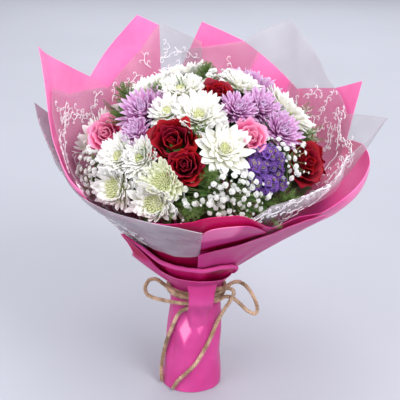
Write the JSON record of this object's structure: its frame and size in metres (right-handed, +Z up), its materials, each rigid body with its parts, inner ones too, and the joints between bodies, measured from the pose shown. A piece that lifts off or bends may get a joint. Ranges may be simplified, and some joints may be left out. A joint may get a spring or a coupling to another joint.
{
  "type": "flower bouquet",
  "caption": "Hand-tied bouquet of mixed cut flowers in layered pink film and clear printed film, tied with jute twine, that stands on its wrapped stems.",
  "frame": {"origin": "centre of the flat cut end of the middle stem, on the surface that the bouquet stands on", "axes": "+Z up along the bouquet, -Y towards the open front of the wrap, +X to the right seen from the front"},
  "size_m": [0.4144, 0.3465, 0.434],
  "materials": {
    "stem": "satin",
    "string": "matte",
    "cellophane": "gloss",
    "film": "satin",
    "twine": "matte",
    "rose_red": "velvet matte",
    "rose_pink": "matte",
    "mum_white": "matte",
    "mum_green": "matte",
    "mum_lilac": "matte",
    "gypsophila": "matte",
    "fern": "matte",
    "statice": "matte"
  },
  "bodies": {
    "root": {"stem_bunch": "stem", "string_binding": "string", "film_outer_wrap": "film", "film_left": "film", "film_rear": "film", "film_rear_left": "film", "film_right": "film", "film_front": "film", "cellophane_left": "cellophane", "cellophane_right": "cellophane", "cellophane_front": "cellophane", "twine_tie": "twine", "twine_loop_left": "twine", "twine_loop_right": "twine", "twine_tail_left": "twine", "twine_tail_right": "twine", "rose_pink_left": "rose_pink", "mum_lilac_left": "mum_lilac", "mum_lilac_left_low": "mum_lilac", "mum_white_left": "mum_white", "mum_white_left_inner": "mum_white", "mum_white_left_low": "mum_white", "mum_white_front_low": "mum_white", "mum_green_front": "mum_green", "mum_white_top": "mum_white", "mum_white_back": "mum_white", "mum_white_top_left": "mum_white", "mum_white_top_right": "mum_white", "rose_red_main": "rose_red", "rose_red_low": "rose_red", "mum_white_open": "mum_white", "rose_pink_front": "rose_pink", "rose_red_top": "rose_red", "mum_white_top_far": "mum_white", "mum_lilac_right": "mum_lilac", "mum_lilac_right_far": "mum_lilac", "mum_lilac_right_low": "mum_lilac", "statice_right": "statice", "rose_red_right": "rose_red", "gypsophila_right": "gypsophila", "gypsophila_front": "gypsophila", "gypsophila_left": "gypsophila", "fern_front_low": "fern", "fern_front": "fern", "fern_top_left": "fern", "fern_top": "fern", "gypsophila_top": "gypsophila", "fern_right_low": "fern", "mum_white_right_far": "mum_white", "rose_red_rear_right": "rose_red", "mum_white_rear_right": "mum_white", "gypsophila_rear": "gypsophila", "mum_lilac_rear": "mum_lilac", "rose_pink_rear": "rose_pink", "mum_white_rear_left": "mum_white", "mum_lilac_rear_high": "mum_lilac", "rose_red_rear_high": "rose_red", "mum_white_rear_high": "mum_white", "mum_white_crown": "mum_white"}
  },
  "joints": []
}
